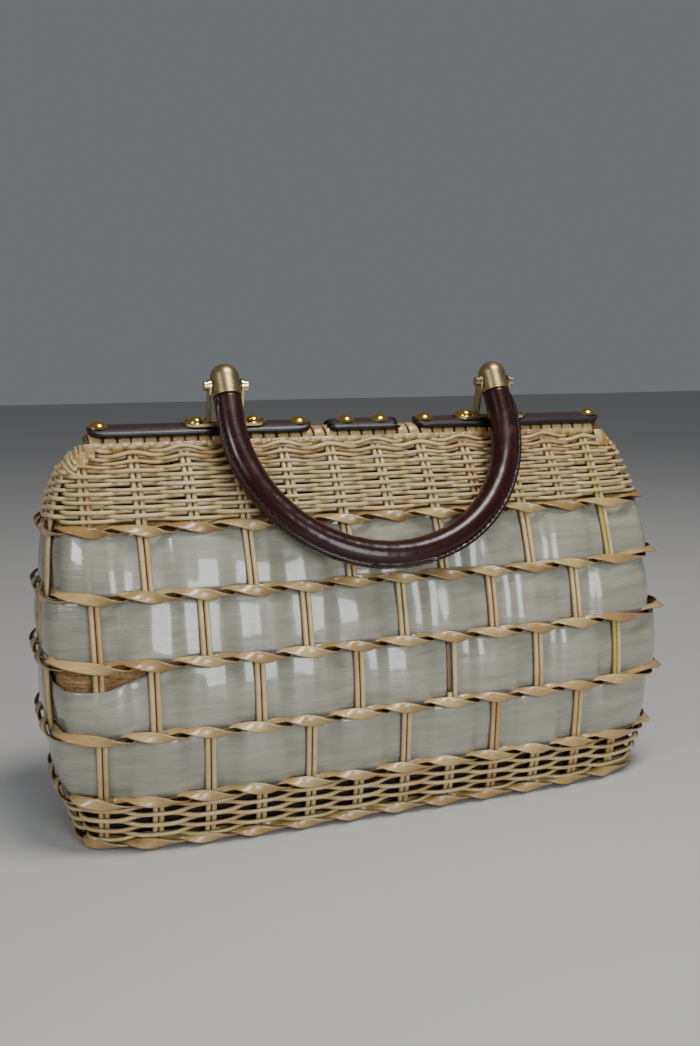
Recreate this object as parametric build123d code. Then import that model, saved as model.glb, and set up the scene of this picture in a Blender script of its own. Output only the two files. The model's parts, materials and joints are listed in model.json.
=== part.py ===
"""Woven basket box bag: a reed and vinyl basket with a rear lid and one swinging leather handle.

Millimetres, +X to the bag's right, +Y to its back, +Z up. The origin is the middle of the base.
"""

import math
import os

from build123d import *

# Basket outline: height, half width, front and back of the wall at that height
LEVELS = (
    (0.0, 164.0, -51.0, 51.0),
    (14.0, 169.5, -55.5, 55.5),
    (40.0, 176.5, -59.0, 59.0),
    (75.0, 180.0, -60.0, 60.5),
    (110.0, 179.5, -55.5, 60.5),
    (140.0, 177.0, -47.5, 58.5),
    (165.0, 174.0, -37.5, 54.0),
    (185.0, 168.0, -26.0, 40.0),
    (198.0, 161.0, -16.0, 20.0),
    (206.0, 154.0, -8.5, 7.0),
)
WIDTH_SCALE = 1.0
DEPTH_SCALE = 1.0
ROUNDNESS = 5.0
OUTLINE_POINTS = 40

# Weave
WALL = 3.6
TWIST_ROWS = (("e", 28.0), ("d", 62.0), ("c", 98.0), ("b", 131.0), ("a", 163.0))
TWIST_HEIGHT = 6.4
FOOT_HEIGHT = 8.0
WEAVE_TOP = 203.0
STAKE_RADIUS = 1.5
STAKE_GAP = 0.2
STAKE_PITCH = 26.8
STAKE_COUNT = 12
STAKE_OFFSET = -9.0
STAKE_FOOT = 3.0
FRONT_STAKE_TOP = 196.0
END_STAKE_Y = (-22.0, 4.0, 30.0)
STAKE_SPACE = 0.65
LINING_SPACE = 2.9
STAKE_BEND = 60.0

# Bottom and lining
BASE_WEAVE = 2.0
BOARD = 3.4
LINING = 1.7
LINING_TOP = 159.0

# Rim bar
BAR_Y = -3.0
BAR_Z = 203.0
BAR_RADIUS = 5.8
WRAP = 1.6
BAR_HALF = 152.5

# Leather on the rim
TILT = 14.0
LEATHER = 3.4
LEATHER_FLAT = 0.4
STRAP_SPREAD = 45.0
STRAP_INNER = 31.0
STRAP_OUTER = 151.0
PATCH_HALF = 19.0
TACK_X = (10.0, 37.5, 145.5)
TACK_HEAD = 5.2
TACK_RISE = 3.0
TACK_SHANK = 1.1
TACK_LENGTH = 8.0

# Handle brackets
PIVOT_X = 79.0
PIVOT_RISE = 31.0
PLATE_LENGTH = 46.0
PLATE_DEPTH = 12.0
PLATE = 1.5
PLATE_LIP = 0.7
RIVET_X = 15.5
RIVET_HEAD = 4.6
RIVET_RISE = 3.4
BRACKET = 1.1
ARM_WIDTH = 7.0
ARM_TOP = 2.9
PIN_RADIUS = 1.5
PIN_HEAD = 2.7
PIN_HEAD_LENGTH = 1.6
WASHER = 0.6
WASHER_RADIUS = 3.1

# Handle
HANDLE_LEAN = 28.5
HANDLE_RADIUS = 7.5
HANDLE_CORE = 5.2
HANDLE_DROP = 100.0
CAP_RADIUS = 7.9
CAP_WALL = 0.8
CAP_ABOVE = 12.0
CAP_BELOW = 7.0
CORE_ABOVE = 4.0

# Lid and its hinge
SPLIT_LOW = (54.0, 166.2)
SPLIT_HIGH = (6.0, 206.0)
LID_GAP = 0.5
LID_TOP = 203.4
LID_ROD = 3.0
LID_ROD_Y = 9.0
LID_ROD_Z = 205.6
LID_ROD_HALF = 138.0
HINGE_Y = 58.4
HINGE_Z = 166.0
HINGE_ROD = 2.0
HINGE_HALF = 108.0
LOOP_WALL = 1.6
LOOP_WIDTH = 9.0
LID_LOOPS = (-75.0, 0.0, 75.0)
BODY_LOOPS = (-100.0, -45.0, 45.0, 100.0)
LOOP_REACH = 15.0
LOOP_SHEET = 1.8

# Clearances
FIT = 0.1
HOLE = 0.06
RUN = 0.3
SOFT_HOLE = 0.3

BIG = 600.0


def between(z, column):
    """One column of the outline at height z, on straight lines between the levels."""
    for low, high in zip(LEVELS, LEVELS[1:]):
        if z <= high[0]:
            share = (z - low[0]) / (high[0] - low[0])
            return low[column] + share * (high[column] - low[column])
    return LEVELS[-1][column]


def section(z, half_width, front, back, inset):
    """The basket's outline at one level, taken in by inset."""
    a = half_width * WIDTH_SCALE - inset
    b = (back - front) * DEPTH_SCALE / 2 - inset
    middle = (back + front) * DEPTH_SCALE / 2
    points = []
    for k in range(OUTLINE_POINTS):
        turn = 2 * math.pi * k / OUTLINE_POINTS
        c = math.cos(turn)
        s = math.sin(turn)
        x = a * math.copysign(abs(c) ** (2 / ROUNDNESS), c)
        y = b * math.copysign(abs(s) ** (2 / ROUNDNESS), s)
        points.append((x, middle + y, z))
    return Face(Wire([Spline(*points, periodic=True)]))


def block(inset):
    """The whole basket as one block, taken in by inset."""
    return loft([section(*level, inset) for level in LEVELS])


def slab(low, high):
    """Everything between two heights."""
    return Pos(0, 0, (low + high) / 2) * Box(BIG, BIG, high - low)


def above_split(gap):
    """Everything behind and above the slanted line where the lid parts from the basket."""
    run = SPLIT_HIGH[0] - SPLIT_LOW[0]
    rise = SPLIT_HIGH[1] - SPLIT_LOW[1]
    slope = math.degrees(math.atan2(rise, -run))
    half = Rot(-slope, 0, 0) * Pos(0, 0, BIG / 2 + gap) * Box(BIG, BIG, BIG)
    return Pos(0, SPLIT_LOW[0] * DEPTH_SCALE, SPLIT_LOW[1]) * half


def along_x(radius, x_low, x_high, y, z):
    """A round bar along X."""
    bar = Rot(0, 90, 0) * Cylinder(radius, x_high - x_low)
    return Pos((x_low + x_high) / 2, y, z) * bar


def on_bar(shape, x=0.0):
    """Places a shape modelled on the bar's axis, its up turned forward by the rim's tilt."""
    return Pos(x, BAR_Y, BAR_Z) * Rot(TILT, 0, 0) * shape


def write(name, *shapes):
    """Writes one node as the separate solids of its shapes."""
    solids = [solid for shape in shapes for solid in shape.solids()]
    export_step(Compound(children=solids), f"parts/{name}.step")


# Basket wall, in bands from the foot up

def wall_bands(wall):
    """The wall's rings by name, from the foot border to the band under the rim."""
    rows = [(z - TWIST_HEIGHT / 2, z + TWIST_HEIGHT / 2, f"cane_row_{name}") for name, z in TWIST_ROWS]
    bands = [(0.0, FOOT_HEIGHT, "foot_border"), (FOOT_HEIGHT, rows[0][0], "lower_weave")]
    bands += rows
    for number, (low, high) in enumerate(zip(rows, rows[1:])):
        bands.append((low[1], high[0], f"vinyl_strip_{len(rows) - 1 - number}"))
    rings = {name: wall & slab(low, high) for low, high, name in bands}
    rings["cane_row_a"] -= above_split(0)
    return rings, rows[-1][1]


def stake_path(points):
    """A planar run of straight lengths with soft bends."""
    return FilletPolyline(*points, radius=STAKE_BEND)


def stake(points):
    """One reed along its path."""
    path = stake_path(points)
    face = Plane(path @ 0, z_dir=path % 0) * Circle(STAKE_RADIUS)
    return sweep(face, path)


def stake_heights(top):
    """The heights where a stake bends, up to its top."""
    inner = [level[0] for level in LEVELS if STAKE_FOOT + 20 < level[0] < top - 8]
    return [STAKE_FOOT] + inner + [top]


def wall_depth(x, z, side, inset):
    """The wall's Y at x and z on the front (-1) or the back (+1)."""
    a = between(z, 1) * WIDTH_SCALE - inset
    front = between(z, 2) * DEPTH_SCALE
    back = between(z, 3) * DEPTH_SCALE
    b = (back - front) / 2 - inset
    return (front + back) / 2 + side * b * (1 - abs(x / a) ** ROUNDNESS) ** (1 / ROUNDNESS)


def wall_end(y, z, side, inset):
    """The wall's X at y and z on the left (-1) or right (+1) end."""
    a = between(z, 1) * WIDTH_SCALE - inset
    front = between(z, 2) * DEPTH_SCALE
    back = between(z, 3) * DEPTH_SCALE
    b = (back - front) / 2 - inset
    across = (y - (front + back) / 2) / b
    return side * a * (1 - abs(across) ** ROUNDNESS) ** (1 / ROUNDNESS)


def stakes():
    """Pairs of upright reeds just inside the weave, all round the basket."""
    inset = WALL + STAKE_SPACE + STAKE_RADIUS
    apart = STAKE_RADIUS + STAKE_GAP / 2
    reeds = []
    for number in range(STAKE_COUNT):
        middle = (STAKE_PITCH * (number - (STAKE_COUNT - 1) / 2) + STAKE_OFFSET) * WIDTH_SCALE
        for side, top in ((-1, FRONT_STAKE_TOP), (1, LINING_TOP)):
            if abs(middle) > BAR_HALF * WIDTH_SCALE - 25:
                top = LINING_TOP
            for x in (middle - apart, middle + apart):
                heights = stake_heights(top)
                reeds.append(stake([(x, wall_depth(x, z, side, inset), z) for z in heights]))
    for side in (-1, 1):
        for middle in END_STAKE_Y:
            for y in (middle - apart, middle + apart):
                heights = stake_heights(LINING_TOP)
                reeds.append(stake([(wall_end(y, z, side, inset), y, z) for z in heights]))
    return reeds


# Rim bar, its leather and its tacks

def leather(x_low, x_high):
    """Doubled leather bent over the wrapped bar, flat on its crown."""
    inside = BAR_RADIUS + WRAP + FIT
    ring = along_x(inside + LEATHER, x_low, x_high, 0, 0) - along_x(inside, x_low, x_high, 0, 0)
    crown = Pos(0, 0, inside + LEATHER - LEATHER_FLAT + BIG / 2) * Box(BIG, BIG, BIG)
    side = Pos(0, 0, BIG / 2) * Box(BIG, BIG, BIG)
    ring &= Rot(90 - STRAP_SPREAD, 0, 0) * side
    ring &= Rot(STRAP_SPREAD - 90, 0, 0) * side
    return ring - crown


def crown_height():
    """Height of the leather's flat crown over the bar's axis."""
    return BAR_RADIUS + WRAP + FIT + LEATHER - LEATHER_FLAT


def dome(radius, rise):
    """A low domed head, flat underneath at height 0."""
    ball = (radius**2 + rise**2) / (2 * rise)
    return (Pos(0, 0, rise - ball) * Sphere(ball)) & (Pos(0, 0, rise / 2) * Box(BIG, BIG, rise))


def tack(head, rise, seat, shank, length):
    """A domed nail whose head seats at that height over the bar's axis."""
    nail = Pos(0, 0, seat) * dome(head, rise)
    return nail + Pos(0, 0, seat - length / 2) * Cylinder(shank, length)


def nail_holes(clearance, spots, seat, length):
    """Drill holes for the nails at those X places."""
    drill = Pos(0, 0, seat - length / 2) * Cylinder(TACK_SHANK + clearance, length)
    return [on_bar(drill, x) for x in spots]


# Handle brackets

def plate(seat):
    """An oval plate with a raised edge."""
    outline = SlotOverall(PLATE_LENGTH, PLATE_DEPTH)
    sheet = extrude(outline, PLATE)
    hollow = extrude(SlotOverall(PLATE_LENGTH - 2.4, PLATE_DEPTH - 2.4), PLATE)
    sheet -= Pos(0, 0, PLATE - PLATE_LIP) * hollow
    return Pos(0, 0, seat) * sheet


def bracket(seat):
    """A U of flat brass: a foot on the plate and two arms that hold the pin."""
    gap = CAP_RADIUS + RUN
    foot = Pos(0, 0, seat + BRACKET / 2) * Box(2 * (gap + BRACKET), ARM_WIDTH, BRACKET)
    arm = Pos(0, 0, (seat + PIVOT_RISE) / 2) * Box(BRACKET, ARM_WIDTH, PIVOT_RISE - seat)
    top = Pos(0, 0, PIVOT_RISE) * Rot(0, 90, 0) * Cylinder(ARM_WIDTH / 2, BRACKET)
    arm += top
    shape = foot
    for side in (-1, 1):
        shape += Pos(side * (gap + BRACKET / 2), 0, 0) * arm
    return shape - along_x(PIN_RADIUS + HOLE, -BIG / 2, BIG / 2, 0, PIVOT_RISE)


def pin():
    """The pin through bracket and cap, with a head at each end."""
    reach = CAP_RADIUS + RUN + BRACKET + 2 * FIT + WASHER
    shape = along_x(PIN_RADIUS, -reach - PIN_HEAD_LENGTH, reach + PIN_HEAD_LENGTH, 0, PIVOT_RISE)
    for side in (-1, 1):
        low = min(side * reach, side * (reach + PIN_HEAD_LENGTH))
        shape += along_x(PIN_HEAD, low, low + PIN_HEAD_LENGTH, 0, PIVOT_RISE)
    return shape


def washers():
    """One washer under each head of the pin."""
    low = CAP_RADIUS + RUN + BRACKET + FIT
    shapes = []
    for start in (-low - WASHER, low):
        ring = along_x(WASHER_RADIUS, start, start + WASHER, 0, PIVOT_RISE)
        shapes.append(ring - along_x(PIN_RADIUS + HOLE, start, start + WASHER, 0, PIVOT_RISE))
    return shapes


# Handle, modelled hanging straight down from the pivot axis at its origin

def on_pivot(shape):
    """Leans a handle piece forward and hangs it from the pins."""
    up = math.radians(TILT)
    y = BAR_Y - PIVOT_RISE * math.sin(up)
    z = BAR_Z + PIVOT_RISE * math.cos(up)
    return Pos(0, y, z) * Rot(-HANDLE_LEAN, 0, 0) * shape


def handle_path(start):
    """The U that the handle follows, from start below the pivots."""
    straight = HANDLE_DROP - PIVOT_X
    left = Line((-PIVOT_X, 0, -start), (-PIVOT_X, 0, -straight))
    bow = ThreePointArc((-PIVOT_X, 0, -straight), (0, 0, -HANDLE_DROP), (PIVOT_X, 0, -straight))
    right = Line((PIVOT_X, 0, -straight), (PIVOT_X, 0, -start))
    return Wire([left, bow, right])


def tube(radius, start):
    """A round bar along the U."""
    face = Plane((-PIVOT_X, 0, -start), z_dir=(0, 0, -1)) * Circle(radius)
    return sweep(face, handle_path(start))


def handle_stub(radius, low, high):
    """An upright round piece on both pivots, between two heights."""
    return [Pos(side * PIVOT_X, 0, (low + high) / 2) * Cylinder(radius, high - low) for side in (-1, 1)]


def pin_hole(clearance):
    """The pin's hole through both handle ends."""
    return along_x(PIN_RADIUS + clearance, -PIVOT_X - 20, PIVOT_X + 20, 0, 0)


def handle_core():
    """The stiff core inside the leather."""
    core = tube(HANDLE_CORE, CAP_BELOW)
    for stub in handle_stub(HANDLE_CORE, -CAP_BELOW, CORE_ABOVE):
        core += stub
    return core - pin_hole(SOFT_HOLE)


def handle_cover():
    """The leather round the core, thinner where it goes up inside the caps."""
    cover = tube(HANDLE_RADIUS, CAP_BELOW + FIT)
    for stub in handle_stub(CAP_RADIUS - CAP_WALL - FIT, -CAP_BELOW - FIT, CORE_ABOVE):
        cover += stub
    cover -= tube(HANDLE_CORE + FIT, CAP_BELOW)
    for stub in handle_stub(HANDLE_CORE + FIT, -CAP_BELOW, CORE_ABOVE + 1):
        cover -= stub
    return cover - pin_hole(SOFT_HOLE)


def cap_block(radius, top):
    """A round-topped stub, before it is hollowed."""
    height = top - radius + CAP_BELOW
    stub = Pos(0, 0, top - radius - height / 2) * Cylinder(radius, height)
    return stub + Pos(0, 0, top - radius) * Sphere(radius)


def cap(side):
    """A domed brass cap over one handle end."""
    shell = cap_block(CAP_RADIUS, CAP_ABOVE) - cap_block(CAP_RADIUS - CAP_WALL, CAP_ABOVE - CAP_WALL)
    return Pos(side * PIVOT_X, 0, 0) * shell - pin_hole(HOLE)


# Lid hinge

def loop(x, inside, sheet):
    """A cane loop round the hinge rod that runs on as a flat strip over the weave."""
    outside = HINGE_ROD + inside + LOOP_WALL
    ring = along_x(outside, x - LOOP_WIDTH / 2, x + LOOP_WIDTH / 2, hinge_y(), HINGE_Z)
    ring -= along_x(HINGE_ROD + inside, x - LOOP_WIDTH, x + LOOP_WIDTH, hinge_y(), HINGE_Z)
    return ring + sheet


def hinge_y():
    """The hinge line's Y."""
    return HINGE_Y * DEPTH_SCALE


def main():
    """Builds and writes every node."""
    os.makedirs("parts", exist_ok=True)
    outer = block(0)
    wall = outer - block(WALL)
    rings, band_low = wall_bands(wall)
    crown = crown_height()
    bar_half = BAR_HALF * WIDTH_SCALE
    bar_room = along_x(BAR_RADIUS + WRAP + FIT, -bar_half - FIT, bar_half + FIT, BAR_Y, BAR_Z)
    for name, ring in rings.items():
        write(name, ring)
    rod_y = LID_ROD_Y * DEPTH_SCALE
    rod_room = along_x(LID_ROD + RUN, -BIG / 2, BIG / 2, rod_y, LID_ROD_Z)
    front_weave = (wall & slab(band_low, WEAVE_TOP)) - above_split(0)
    write("upper_weave", front_weave - bar_room - rod_room)
    write("stakes", *stakes())

    inside = WALL + STAKE_SPACE + 2 * STAKE_RADIUS + LINING_SPACE
    base_weave = block(WALL + FIT) & slab(0.3, 0.3 + BASE_WEAVE)
    board_low = STAKE_FOOT
    write("base_weave", base_weave)
    board = block(inside) & slab(board_low, board_low + BOARD)
    write("base_board", board)
    lining = block(inside) - block(inside + LINING)
    write("lining", lining & slab(board_low + BOARD, LINING_TOP))

    shanks = (*(side * x for x in TACK_X for side in (-1, 1)),)
    rivets = tuple(side * PIVOT_X + end * RIVET_X for side in (-1, 1) for end in (-1, 1))
    holes = nail_holes(HOLE, shanks + rivets, crown + 0.5, TACK_LENGTH + 2.0)
    core = along_x(BAR_RADIUS, -bar_half, bar_half, BAR_Y, BAR_Z)
    wrap = along_x(BAR_RADIUS + WRAP, -bar_half, bar_half, BAR_Y, BAR_Z)
    wrap -= along_x(BAR_RADIUS + FIT / 2, -bar_half, bar_half, BAR_Y, BAR_Z)
    straps = {
        "left_strap": on_bar(leather(-STRAP_OUTER, -STRAP_INNER)),
        "right_strap": on_bar(leather(STRAP_INNER, STRAP_OUTER)),
        "centre_patch": on_bar(leather(-PATCH_HALF, PATCH_HALF)),
    }
    for hole in holes:
        core -= hole
        wrap -= hole
        straps = {name: strap - hole for name, strap in straps.items()}
    write("rim_bar", core)
    write("rim_wrap", wrap)
    for name, strap in straps.items():
        write(name, strap)
    nail = tack(TACK_HEAD, TACK_RISE, crown + FIT / 2, TACK_SHANK, TACK_LENGTH)
    write("tacks", *(on_bar(nail, x) for x in shanks))

    plate_seat = crown + FIT / 2
    plate_floor = plate_seat + PLATE - PLATE_LIP
    rivet = tack(RIVET_HEAD, RIVET_RISE, plate_floor + FIT / 2, TACK_SHANK, TACK_LENGTH + PLATE)
    drill = Cylinder(TACK_SHANK + HOLE, BIG / 4)
    write("plate_rivets", *(on_bar(rivet, x) for x in rivets))
    for side, name in ((-1, "left"), (1, "right")):
        sheet = plate(plate_seat)
        for end in (-1, 1):
            sheet -= Pos(end * RIVET_X, 0, 0) * drill
        write(f"{name}_plate", on_bar(sheet, side * PIVOT_X))
        write(f"{name}_bracket", on_bar(bracket(plate_floor + FIT / 2), side * PIVOT_X))
        write(f"{name}_pin", on_bar(pin(), side * PIVOT_X))
        write(f"{name}_cap", on_pivot(cap(side)))
    rings_out = [on_bar(ring, side * PIVOT_X) for side in (-1, 1) for ring in washers()]
    write("pin_washers", *rings_out)
    write("handle_core", on_pivot(handle_core()))
    write("handle_cover", on_pivot(handle_cover()))

    lid_room = above_split(LID_GAP)
    rod_seat = along_x(LID_ROD + FIT, -BIG / 2, BIG / 2, rod_y, LID_ROD_Z)
    panel = wall & slab(SPLIT_LOW[1] - 3, LID_TOP) & lid_room
    write("lid_panel", panel - rod_seat)
    rod_half = LID_ROD_HALF * WIDTH_SCALE
    write("lid_rim", along_x(LID_ROD, -rod_half, rod_half, rod_y, LID_ROD_Z))
    sheet = block(-FIT - LOOP_SHEET) - block(-FIT)
    lid_sheet = sheet & lid_room & slab(SPLIT_LOW[1], SPLIT_LOW[1] + LOOP_REACH)
    body_sheet = (sheet & slab(HINGE_Z - LOOP_REACH, HINGE_Z)) - above_split(-LID_GAP)
    lid_loops = []
    body_loops = []
    for x in LID_LOOPS:
        strip = lid_sheet & (Pos(x, BIG / 4, 0) * Box(LOOP_WIDTH, BIG / 2, BIG))
        lid_loops.append(loop(x, RUN, strip))
    for x in BODY_LOOPS:
        strip = body_sheet & (Pos(x, BIG / 4, 0) * Box(LOOP_WIDTH, BIG / 2, BIG))
        body_loops.append(loop(x, HOLE, strip))
    write("lid_loops", *lid_loops)
    write("body_loops", *body_loops)
    write("hinge_rod", along_x(HINGE_ROD, -HINGE_HALF, HINGE_HALF, hinge_y(), HINGE_Z))


main()
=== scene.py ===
"""Looks of a woven basket box bag: reeds, canes, vinyl bands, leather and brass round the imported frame."""

import json
import logging
import math
from dataclasses import dataclass, field, replace
from enum import Enum
from typing import Iterable, Optional, Sequence, Union

import bpy
import numpy as np
from mathutils import Matrix, Vector


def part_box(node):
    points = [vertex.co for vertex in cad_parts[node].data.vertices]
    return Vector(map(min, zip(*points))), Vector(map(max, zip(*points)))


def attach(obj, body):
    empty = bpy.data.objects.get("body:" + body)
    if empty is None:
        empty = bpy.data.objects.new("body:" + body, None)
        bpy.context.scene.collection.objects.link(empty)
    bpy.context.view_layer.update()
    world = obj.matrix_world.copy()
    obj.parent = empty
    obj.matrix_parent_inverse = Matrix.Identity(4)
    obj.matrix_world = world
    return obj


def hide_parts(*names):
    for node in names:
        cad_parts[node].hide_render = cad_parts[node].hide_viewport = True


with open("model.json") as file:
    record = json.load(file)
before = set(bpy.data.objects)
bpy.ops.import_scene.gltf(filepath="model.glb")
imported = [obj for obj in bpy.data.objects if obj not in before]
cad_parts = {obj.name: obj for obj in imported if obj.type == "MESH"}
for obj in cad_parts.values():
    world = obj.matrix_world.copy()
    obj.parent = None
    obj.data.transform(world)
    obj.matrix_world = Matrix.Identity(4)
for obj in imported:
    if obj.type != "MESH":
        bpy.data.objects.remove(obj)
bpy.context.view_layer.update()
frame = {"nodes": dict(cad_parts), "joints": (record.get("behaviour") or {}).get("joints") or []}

MM = 0.001
TURN = 2 * math.pi
LOG = logging.getLogger("bag")
Array = np.ndarray
Random = np.random.Generator
Colour = tuple[float, float, float]
Band = tuple[float, float, int]
UV_STEP = 10
PLAIN = (1, 1, 1)
FIBRES = (60, 60, 900)
WHITE = (1.0, 1.0, 1.0)
UP = (0.0, 0.0, 1.0)
TINY = 1e-12


class Body(Enum):
    """The rigid bodies that a piece can ride on."""

    BASKET = "basket"
    HANDLE = "handle"
    LID = "lid"


class Weave(Enum):
    """Which part of the basket a course of reed belongs to."""

    ROUND = "all the way round"
    BODY = "in front of the lid's split"
    LID = "behind the lid's split"


class Spots(Enum):
    """What a texture is laid out by."""

    ALONG = "UV"
    FRAME = "Object"


# Meshes


def lengths(path: Array) -> Array:
    """Length along a path at each of its points."""
    return np.concatenate([[0.0], np.cumsum(np.linalg.norm(np.diff(path, axis=0), axis=1))])


def unit(rows: Array) -> Array:
    """The rows, each with a length of 1."""
    return rows / (np.linalg.norm(rows, axis=1)[:, None] + TINY)


def layout(path: Array, across: Array) -> Array:
    """Place along and across a strand for each point of its grid.

    Args:
        path: its middle line.
        across: place across it for each point of a section.

    Returns:
        Two numbers for each point.
    """
    along = lengths(path)[:, None] / UV_STEP
    return np.stack(np.broadcast_arrays(along, across[None]), -1).reshape(-1, 2)


def link(name: str, data: bpy.types.ID) -> bpy.types.Object:
    """Adds an object to the scene.

    Args:
        name: its name.
        data: its mesh, light or camera.

    Returns:
        The object.
    """
    made = bpy.data.objects.new(name, data)
    bpy.context.scene.collection.objects.link(made)
    return made


def dress(piece: bpy.types.Object, finish: "Finish") -> None:
    """Gives a piece a finish, in place of any it has."""
    piece.data.materials.clear()
    piece.data.materials.append(finish.material())


@dataclass
class Mesher:
    """Collects strands and sheets in millimetres and turns them into one object.

    Each vertex has a place along and across its strand, a tone that tells strands apart, and a mark
    for what is worn, torn or dark.
    """

    verts: list[Array] = field(default_factory=list)
    faces: list[Sequence[int]] = field(default_factory=list)
    along: list[Array] = field(default_factory=list)
    tones: list[Array] = field(default_factory=list)
    marks: list[Array] = field(default_factory=list)
    count: int = 0

    def add(
        self,
        verts: Array,
        faces: Iterable[Sequence[int]],
        along: Array,
        tone: float,
        mark: Array,
    ) -> None:
        """Adds one closed shape.

        Args:
            verts: its points, one row each.
            faces: its faces, numbered within the shape.
            along: place along and across the strand for each point.
            tone: the strand's tone, about -1 to 1.
            mark: the mark of each point, 0 to 1.
        """
        start = self.count
        self.faces.extend([[start + i for i in f] for f in faces])
        self.verts.append(verts)
        self.along.append(along)
        self.tones.append(np.full(len(verts), tone))
        self.marks.append(mark)
        self.count += len(verts)

    def strand(
        self,
        path: Array,
        out: Array,
        half_wide: Union[float, Array],
        half_thick: Union[float, Array],
        tone: float = 0.0,
        sides: int = 8,
        closed: bool = False,
        mark: float = 0.0,
        square: float = 1.0,
    ) -> None:
        """Adds a reed, cane, thread or tube along a path.

        Args:
            path: points of its middle line.
            out: direction of its thin side at each point.
            half_wide: half its width, or its radius.
            half_thick: half its thickness along out.
            tone: the strand's tone.
            sides: number of sides of its section.
            closed: whether its end meets its start.
            mark: the strand's mark.
            square: 1 for a round section, less for a squarer one.
        """
        n = len(path)
        if closed:
            tangent = np.roll(path, -1, 0) - np.roll(path, 1, 0)
        else:
            tangent = np.gradient(path, axis=0)
        tangent = unit(tangent)
        up = unit(out - (out * tangent).sum(1)[:, None] * tangent)
        side = np.cross(tangent, up)
        wide = np.broadcast_to(np.asarray(half_wide, float), (n,))[:, None, None]
        thick = np.broadcast_to(np.asarray(half_thick, float), (n,))[:, None, None]
        angle = TURN * np.arange(sides) / sides
        c = (np.sign(np.cos(angle)) * np.abs(np.cos(angle)) ** square)[None, :, None]
        s = (np.sign(np.sin(angle)) * np.abs(np.sin(angle)) ** square)[None, :, None]
        ring = path[:, None] + thick * c * up[:, None] + wide * s * side[:, None]
        uv = layout(path, np.abs(angle / math.pi - 1))
        faces: list[Sequence[int]] = []
        for i in range(n if closed else n - 1):
            a = i * sides
            b = ((i + 1) % n) * sides
            faces += [(a + k, a + (k + 1) % sides, b + (k + 1) % sides, b + k) for k in range(sides)]
        if not closed:
            faces.append(tuple(range(sides - 1, -1, -1)))
            faces.append(tuple((n - 1) * sides + k for k in range(sides)))
        total = n * sides
        self.add(ring.reshape(-1, 3), faces, uv, tone, np.full(total, mark))

    def slab(self, top: Array, under: Array, tone: float, mark: Array, closed: bool = False) -> None:
        """Adds a sheet with two faces joined round its edges.

        Args:
            top: grid of points of the outer face, rows along the sheet.
            under: the same grid for the inner face.
            tone: the sheet's tone.
            mark: the mark of each grid point.
            closed: whether the last row joins the first.
        """
        rows, cols = top.shape[:2]
        half = rows * cols
        faces: list[Sequence[int]] = []
        last = rows if closed else rows - 1
        for i in range(last):
            a = i * cols
            b = ((i + 1) % rows) * cols
            for k in range(cols - 1):
                faces.append((a + k, a + k + 1, b + k + 1, b + k))
                faces.append((half + b + k, half + b + k + 1, half + a + k + 1, half + a + k))
            faces.append((b, half + b, half + a, a))
            faces.append((a + cols - 1, half + a + cols - 1, half + b + cols - 1, b + cols - 1))
        if not closed:
            for k in range(cols - 1):
                faces.append((k, half + k, half + k + 1, k + 1))
                e = (rows - 1) * cols + k
                faces.append((e + 1, half + e + 1, half + e, e))
        uv = layout(top[:, cols // 2], np.linspace(0, 1, cols))
        verts = np.concatenate([top.reshape(-1, 3), under.reshape(-1, 3)])
        marks = np.concatenate([mark.ravel(), mark.ravel()])
        self.add(verts, faces, np.concatenate([uv, uv]), tone, marks)

    def build(self, name: str) -> bpy.types.Object:
        """Makes the object, in metres, with smooth faces.

        Args:
            name: the piece's name.

        Returns:
            The new object, already in the scene.
        """
        mesh = bpy.data.meshes.new(name)
        verts = np.concatenate(self.verts) * MM
        mesh.from_pydata(verts.tolist(), [], self.faces)
        mesh.polygons.foreach_set("use_smooth", [True] * len(mesh.polygons))
        index = np.zeros(len(mesh.loops), np.int32)
        mesh.loops.foreach_get("vertex_index", index)
        layer = mesh.uv_layers.new(name="along")
        layer.data.foreach_set("uv", np.concatenate(self.along)[index].astype(np.float32).ravel())
        for label, values in (("tone", self.tones), ("mark", self.marks)):
            spot = mesh.attributes.new(label, "FLOAT", "POINT")
            spot.data.foreach_set("value", np.concatenate(values).astype(np.float32))
        mesh.update()
        return link(name, mesh)


def place(
    piece: bpy.types.Object,
    body: Body,
    finish: "Finish",
    nodes: Sequence[str] = (),
) -> bpy.types.Object:
    """Dresses a piece, puts it on its body and hides the frame's nodes that it stands for.

    Args:
        piece: the object.
        body: the body it rides on.
        finish: its finish.
        nodes: the frame's nodes that it replaces.

    Returns:
        The same object.
    """
    dress(piece, finish)
    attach(piece, body.value)
    if nodes:
        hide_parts(*nodes)
    LOG.info("%s: %d faces on %s", piece.name, len(piece.data.polygons), body.value)
    return piece


# Shader maths


Input = Union["Value", float]


class Value:
    """A socket that takes part in sums."""

    def __init__(self, shop: "Shop", socket: bpy.types.NodeSocket) -> None:
        """Wraps a socket of the shop's tree."""
        self.shop = shop
        self.socket = socket

    def _math(self, operation: str, first: Input, second: Input = 0.0) -> "Value":
        """Adds a Math node.

        Args:
            operation: what it does.
            first: its first value.
            second: its second value.

        Returns:
            Its result.
        """
        settings = {"operation": operation}
        node = self.shop.node("ShaderNodeMath", settings, {0: first, 1: second})
        return Value(self.shop, node.outputs[0])

    def __add__(self, other: Input) -> "Value":
        """self + other."""
        return self._math("ADD", self, other)

    __radd__ = __add__

    def __mul__(self, other: Input) -> "Value":
        """self * other."""
        return self._math("MULTIPLY", self, other)

    __rmul__ = __mul__

    def __sub__(self, other: Input) -> "Value":
        """self - other."""
        return self._math("SUBTRACT", self, other)

    def __rsub__(self, other: Input) -> "Value":
        """other - self."""
        return self._math("SUBTRACT", other, self)

    def __pow__(self, power: Input) -> "Value":
        """self to a power."""
        return self._math("POWER", self, power)

    def held(self) -> "Value":
        """self kept between 0 and 1."""
        return self._math("MINIMUM", self._math("MAXIMUM", self, 0.0), 1.0)


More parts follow.
